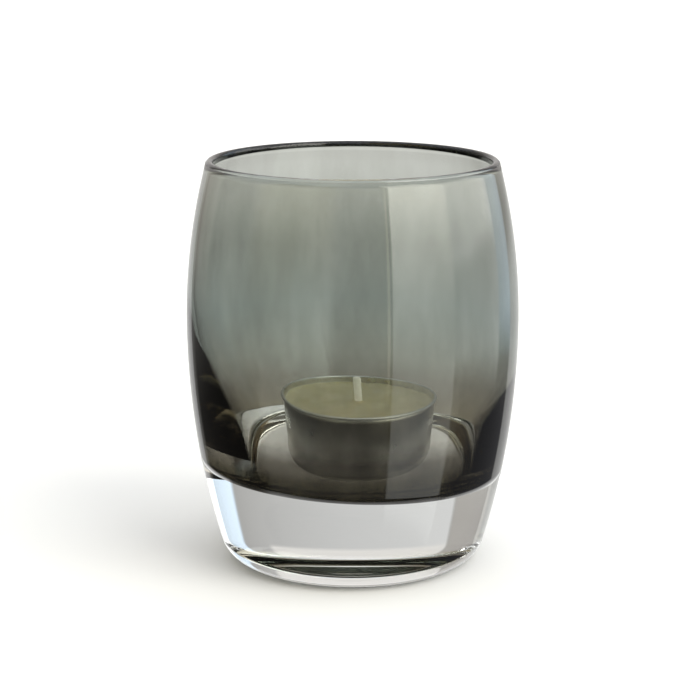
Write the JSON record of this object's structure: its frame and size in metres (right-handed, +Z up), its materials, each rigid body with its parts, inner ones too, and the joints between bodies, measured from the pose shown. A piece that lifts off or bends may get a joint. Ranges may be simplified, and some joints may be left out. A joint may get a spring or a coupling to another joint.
{
  "type": "tealight holder",
  "caption": "Barrel-shaped glass candlestick, smoke-lacquered outside over a thick clear foot, with a tealight standing inside.",
  "frame": {"origin": "centre of the foot, on the table", "axes": "+Z up the axis of the glass to its mouth, -Y towards the viewer, +X to the viewer's right"},
  "size_m": [0.081, 0.081, 0.0989],
  "materials": {
    "clear_glass": "clear soda-lime glass, blown and fire polished, heavy base",
    "smoke_lacquer": "translucent smoke-grey lacquer, sprayed on the outside, denser towards the foot",
    "can_aluminium": "thin drawn aluminium, satin bright",
    "paraffin_wax": "cast paraffin wax, ivory, slightly translucent",
    "waxed_cotton": "braided cotton dipped in wax, unlit",
    "tinned_steel": "stamped tin-plated steel"
  },
  "bodies": {
    "holder": {"glass_body": "clear_glass", "smoke_coating": "smoke_lacquer"},
    "tealight": {"tealight_can": "can_aluminium"},
    "candle": {"candle_wax": "paraffin_wax", "wick": "waxed_cotton", "wick_sustainer": "tinned_steel"}
  },
  "joints": [
    {"name": "tealight_lift", "type": "slide", "parent": "holder", "child": "tealight", "axis": [0, 0, 1], "range_m": [0, 0.085]},
    {"name": "candle_lift", "type": "slide", "parent": "tealight", "child": "candle", "axis": [0, 0, 1], "range_m": [0, 0.02]}
  ]
}
